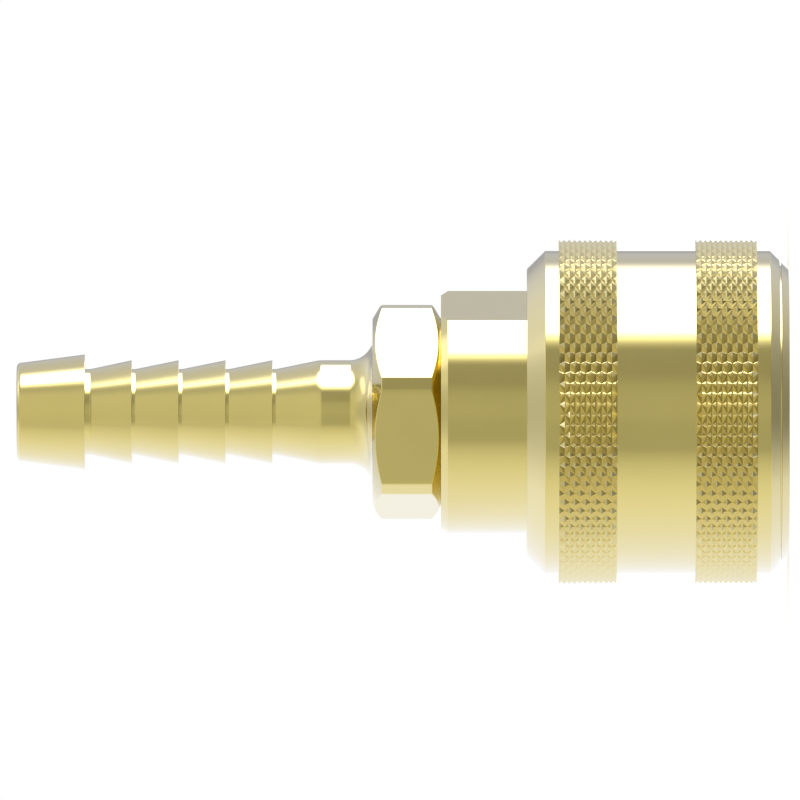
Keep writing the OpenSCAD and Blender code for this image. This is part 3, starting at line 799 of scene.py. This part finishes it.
def floor():
    """A pale floor that shows the object's soft shadow. It stays out of the metal's reflections."""
    made, tree = material("pale_floor")
    spot = tree.node("ShaderNodeTexCoord").outputs["Object"]
    tone = tree.mix_colour(tree.noise(spot, 900.0, 2.0), (0.89, 0.89, 0.89, 1.0), (0.92, 0.92, 0.92, 1.0))
    matt = tree.node("ShaderNodeBsdfDiffuse", {"Color": tone}).outputs[0]
    seen = tree.node("ShaderNodeLightPath").outputs["Is Camera Ray"]
    glow = tree.math("MULTIPLY", seen, FLOOR_LIFT)
    lift = tree.node("ShaderNodeEmission", {"Color": WHITE, "Strength": glow}).outputs[0]
    both = tree.node("ShaderNodeAddShader", {0: matt, 1: lift}).outputs[0]
    tree.node("ShaderNodeOutputMaterial", {"Surface": both})
    mesh = bpy.data.meshes.new("floor")
    side = FLOOR_HALF
    corners = [(-side, -side, 0), (side, -side, 0), (side, side, 0), (-side, side, 0)]
    mesh.from_pydata(corners, [], [(0, 1, 2, 3)])
    mesh.materials.append(made)
    obj = bpy.data.objects.new("floor", mesh)
    bpy.context.scene.collection.objects.link(obj)
    obj.visible_glossy = False


def room_light(tree, x, y, z):
    """Level of the room in a direction. Up is +X, as in the photograph, and -Y is the camera's side."""
    rise = tree.math("MULTIPLY", tree.math("ARCTAN2", x, tree.math("MULTIPLY", y, -1.0)), 180 / math.pi)
    aslant = tree.math("MULTIPLY", z, -1.0)
    above = tree.span(x, -0.1, 0.3)
    front = tree.span(y, 0.0, -0.25)
    # Square to the axis, by degrees of rise from the camera: a bright sweep below and grey above
    across = tree.curve(rise, -180, 180, [
        (-180, 0.98), (-150, 0.99), (-110, 1.0), (-72, 0.98), (-58, 0.935), (-46, 0.835), (-38, 0.74),
        (-30, 0.60), (-24, 0.515), (-10, 0.52), (0, 0.56), (14, 0.54), (24, 0.45), (32, 0.41),
        (60, 0.43), (120, 0.51), (142, 0.56), (155, 0.52), (169, 0.40), (180, 0.40),
    ])
    # A pale wall beside the line of sight on the tail's side, by height
    wall = tree.curve(x, -1, 1, [
        (-1, 1.0), (-0.84, 0.92), (-0.61, 0.78), (-0.51, 0.7), (-0.3, 0.7), (0, 0.73),
        (0.58, 0.73), (0.7, 0.64), (0.82, 0.54), (1, 0.5),
    ])
    behind = tree.math("MULTIPLY", tree.span(y, 0.95, 0.1, smooth=False), above)
    beside = tree.mix(front, tree.mix(behind, across, 0.74), wall)
    room = tree.mix(tree.span(z, 0.0, 0.14, smooth=False), across, beside)
    # A pale wall behind the object on the nose's side, and a dark opening in front of it, by height
    beyond = tree.math("MULTIPLY", tree.span(y, 1.05, 0.2, smooth=False), above)
    beyond = tree.math("MULTIPLY", beyond, tree.span(y, 0.0, 0.3))
    beyond = tree.math("MULTIPLY", beyond, tree.span(aslant, 0.05, 0.2))
    room = tree.mix(beyond, room, 0.85)
    opening = tree.curve(x, -1, 1, [
        (-1, 1.0), (-0.8, 0.95), (-0.65, 0.8), (-0.5, 0.51), (-0.4, 0.36), (-0.15, 0.36), (0.06, 0.39),
        (0.25, 0.3), (0.42, 0.24), (0.58, 0.31), (0.8, 0.42), (1, 0.45),
    ])
    open_part = tree.math("MULTIPLY", tree.span(aslant, 0.0, 0.12, smooth=False), front)
    room = tree.mix(open_part, room, opening)
    # Past the tail and past the nose, by height
    tail_side = tree.curve(x, -1, 1, [
        (-1, 1.0), (-0.48, 1.0), (-0.38, 0.92), (-0.27, 0.77), (-0.19, 0.68), (0, 0.605),
        (0.2, 0.66), (0.33, 0.8), (0.39, 0.88), (0.48, 0.87), (0.6, 0.84), (1, 0.8),
    ])
    nose_side = tree.curve(x, -1, 1, [
        (-1, 1.0), (-0.45, 0.92), (-0.35, 0.73), (-0.22, 0.475), (-0.15, 0.375), (0, 0.295),
        (0.29, 0.36), (0.4, 0.445), (0.5, 0.585), (1, 0.6),
    ])
    room = tree.mix(tree.span(z, 0.3, 0.9), room, tail_side)
    return tree.mix(tree.span(aslant, 0.35, 0.85), room, nose_side)


def box_light(tree, x, y, z):
    """A wide soft box above and in front, and a narrow one that carries on to the back, as 0 to 1."""
    height = tree.math("MAXIMUM", x, 0.001)
    back = tree.math("DIVIDE", y, height)
    aside = tree.math("ABSOLUTE", tree.math("DIVIDE", z, height))
    skew = tree.math("SUBTRACT", back, tree.math("MULTIPLY", aside, 0.75))
    slant = tree.math("ADD", back, tree.math("MULTIPLY", aside, 1.3))
    near_edge = tree.fade(skew, -1.106, -0.563)
    narrow = tree.math("MULTIPLY", tree.span(aside, 0.08, 0.04), tree.fade(back, 1.25, 0.45))
    wide = tree.math("MULTIPLY", tree.fade(slant, 0.62, 0.22), tree.fade(aside, 0.85, 0.2))
    box = tree.math("MULTIPLY", near_edge, tree.math("MAXIMUM", wide, narrow))
    return tree.math("MULTIPLY", box, tree.span(x, 0.0, 0.05))


def lamp_light(tree, x, y, z):
    """A round lamp above the tail, as 0 to 1."""
    parts = [tree.math("MULTIPLY", part, share) for part, share in zip((x, y, z), LAMP_TOWARDS)]
    towards = tree.math("ADD", tree.math("ADD", parts[0], parts[2]), parts[1])
    return tree.span(towards, 0.95, 0.99)


def studio_light():
    """The room, its soft boxes and its lamp, with a white backdrop behind the object."""
    world = bpy.data.worlds.new("studio")
    bpy.context.scene.world = world
    world.use_nodes = True
    tree = Tree(world.node_tree)
    place = tree.node("ShaderNodeTexCoord").outputs["Generated"]
    x, y, z = tree.node("ShaderNodeSeparateXYZ", {0: place}).outputs
    lamp = tree.math("MULTIPLY", lamp_light(tree, x, y, z), LAMP_LEVEL)
    box = tree.math("MULTIPLY", box_light(tree, x, y, z), BOX_LEVEL)
    light = tree.math("ADD", tree.math("ADD", room_light(tree, x, y, z), lamp), box)
    # The metal shows the white backdrop too, and every camera has it behind the object
    seen = tree.node("ShaderNodeLightPath").outputs["Is Camera Ray"]
    backdrop = tree.math("MAXIMUM", seen, tree.span(y, 0.985, 0.995))
    strength = tree.mix(backdrop, light, 1.0)
    background = tree.node("ShaderNodeBackground", {"Color": WHITE, "Strength": strength}).outputs[0]
    tree.node("ShaderNodeOutputWorld", {"Surface": background})


def camera():
    """A long lens, level with the middle of the object and turned on its side."""
    data = bpy.data.cameras.new("camera")
    data.sensor_width = CAMERA_SENSOR
    data.lens = CAMERA_SENSOR * CAMERA_DISTANCE / (VIEW_WIDTH * MM)
    data.clip_end = 100.0
    obj = bpy.data.objects.new("camera", data)
    bpy.context.scene.collection.objects.link(obj)
    right, up, back = Vector((0, 0, -1)), Vector((1, 0, 0)), Vector((0, -1, 0))
    turn = Matrix((right, up, back)).transposed().to_4x4()
    obj.matrix_world = Matrix.Translation((VIEW_UP * MM, -CAMERA_DISTANCE, VIEW_ALONG * MM)) @ turn
    bpy.context.scene.camera = obj


camera()
floor()
studio_light()
bpy.context.scene.view_settings.view_transform = "Standard"

body_finish = brass("turned_brass", BRASS, 0.09, 0.25e-6)
sleeve_finish = brass("polished_brass", BRASS, 0.085, 0.2e-6)
inner_finish = brass("inner_brass", INNER_BRASS, 0.16, 1.0e-6)
wire_finish = steel("drawn_wire", WIRE_STEEL, 0.22, 3000.0)
ball_finish = steel("ball_steel", BALL_STEEL, 0.07, 1800.0)
seal_finish = rubber("seal_rubber")

socket_body(body_finish)
hose_barb(body_finish)
sleeve(sleeve_finish)
nose_ring(body_finish)
springs(wire_finish)
snap_ring(wire_finish)
seals(seal_finish)
balls(ball_finish)
dress("valve_poppet", inner_finish)
dress("valve_guide", inner_finish)
